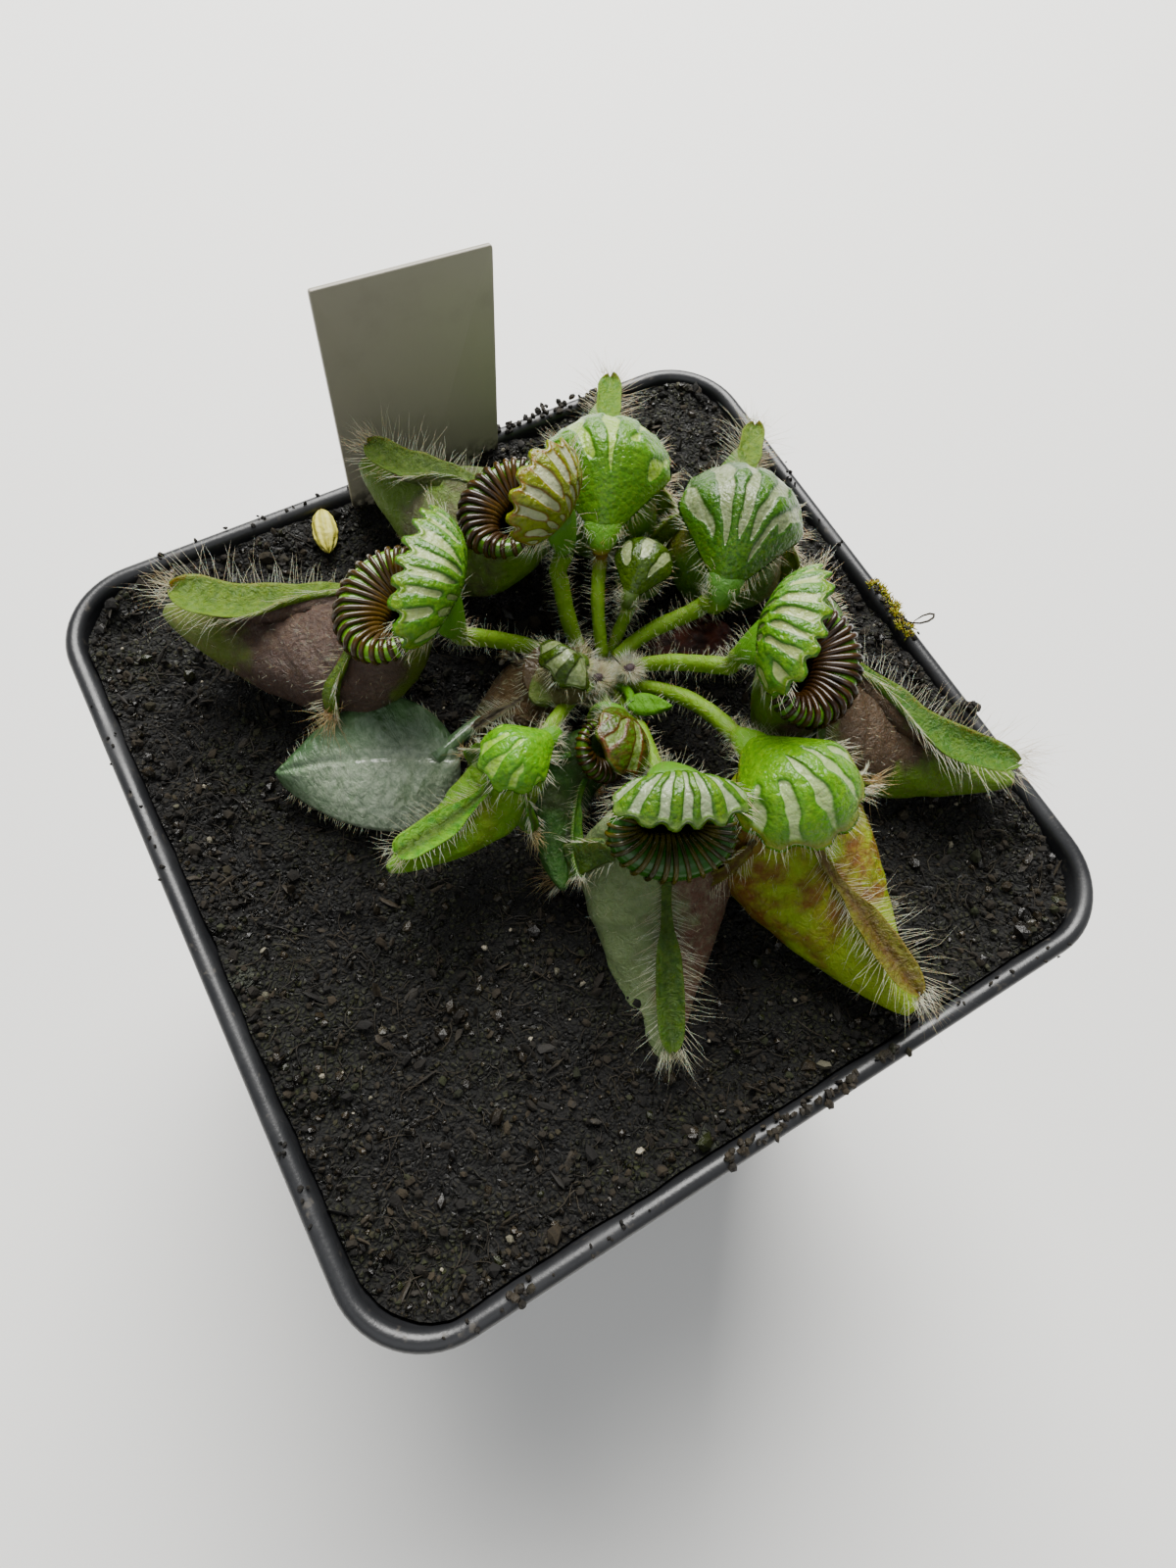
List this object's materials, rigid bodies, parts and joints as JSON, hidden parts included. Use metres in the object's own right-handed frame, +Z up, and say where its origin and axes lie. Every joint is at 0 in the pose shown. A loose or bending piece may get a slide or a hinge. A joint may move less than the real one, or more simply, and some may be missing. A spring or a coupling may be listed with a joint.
{
  "type": "potted pitcher plant",
  "caption": "Low rosette of hairy moccasin-shaped pitchers with domed lids and ribbed lips, growing in a square plastic nursery pot of peat with a blank label.",
  "frame": {"origin": "middle of the flat pad under the pot's floor, on the surface that the pot stands on", "axes": "+Z up out of the pot; the pot's sides face +X, -X, +Y and -Y, and the label stands against the +Y side"},
  "size_m": [0.09, 0.0914, 0.1159],
  "materials": {
    "crown": "matt, woolly",
    "dead_leaf": "matt",
    "grain": "matt",
    "label": "satin",
    "leaf_bright_green": "glossy, hairy",
    "leaf_brown": "dull, hairy",
    "leaf_dark_green": "satin, hairy",
    "leaf_grey_green": "satin",
    "leaf_olive": "satin, hairy",
    "leaf_purple": "satin, hairy",
    "lid": "glossy, with pale translucent windows",
    "lip": "glossy",
    "pot": "satin",
    "soil": "wet peat"
  },
  "bodies": {
    "root": {"crown": "crown", "leaf_crown_small": "leaf_bright_green", "leaf_left": "leaf_grey_green", "old_leaf": "dead_leaf", "pale_grain": "grain", "pitcher_back": "leaf_bright_green", "pitcher_back_left": "leaf_dark_green", "pitcher_back_left_lid": "lid", "pitcher_back_left_lip": "lip", "pitcher_back_lid": "lid", "pitcher_back_right": "leaf_olive", "pitcher_back_right_lid": "lid", "pitcher_centre_front": "leaf_dark_green", "pitcher_centre_front_lid": "lid", "pitcher_centre_front_lip": "lip", "pitcher_centre_old": "leaf_brown", "pitcher_centre_old_lid": "lid", "pitcher_front": "leaf_dark_green", "pitcher_front_left": "leaf_bright_green", "pitcher_front_left_lid": "lid", "pitcher_front_lid": "lid", "pitcher_front_lip": "lip", "pitcher_front_right": "leaf_bright_green", "pitcher_front_right_lid": "lid", "pitcher_left": "leaf_purple", "pitcher_left_lid": "lid", "pitcher_left_lip": "lip", "pitcher_right": "leaf_purple", "pitcher_right_lid": "lid", "pitcher_right_lip": "lip", "pitcher_young_back": "leaf_olive", "pitcher_young_back_lid": "lid", "pitcher_young_centre": "leaf_olive", "pitcher_young_centre_lid": "lid", "plant_label": "label", "pot": "pot", "soil": "soil"}
  },
  "joints": []
}
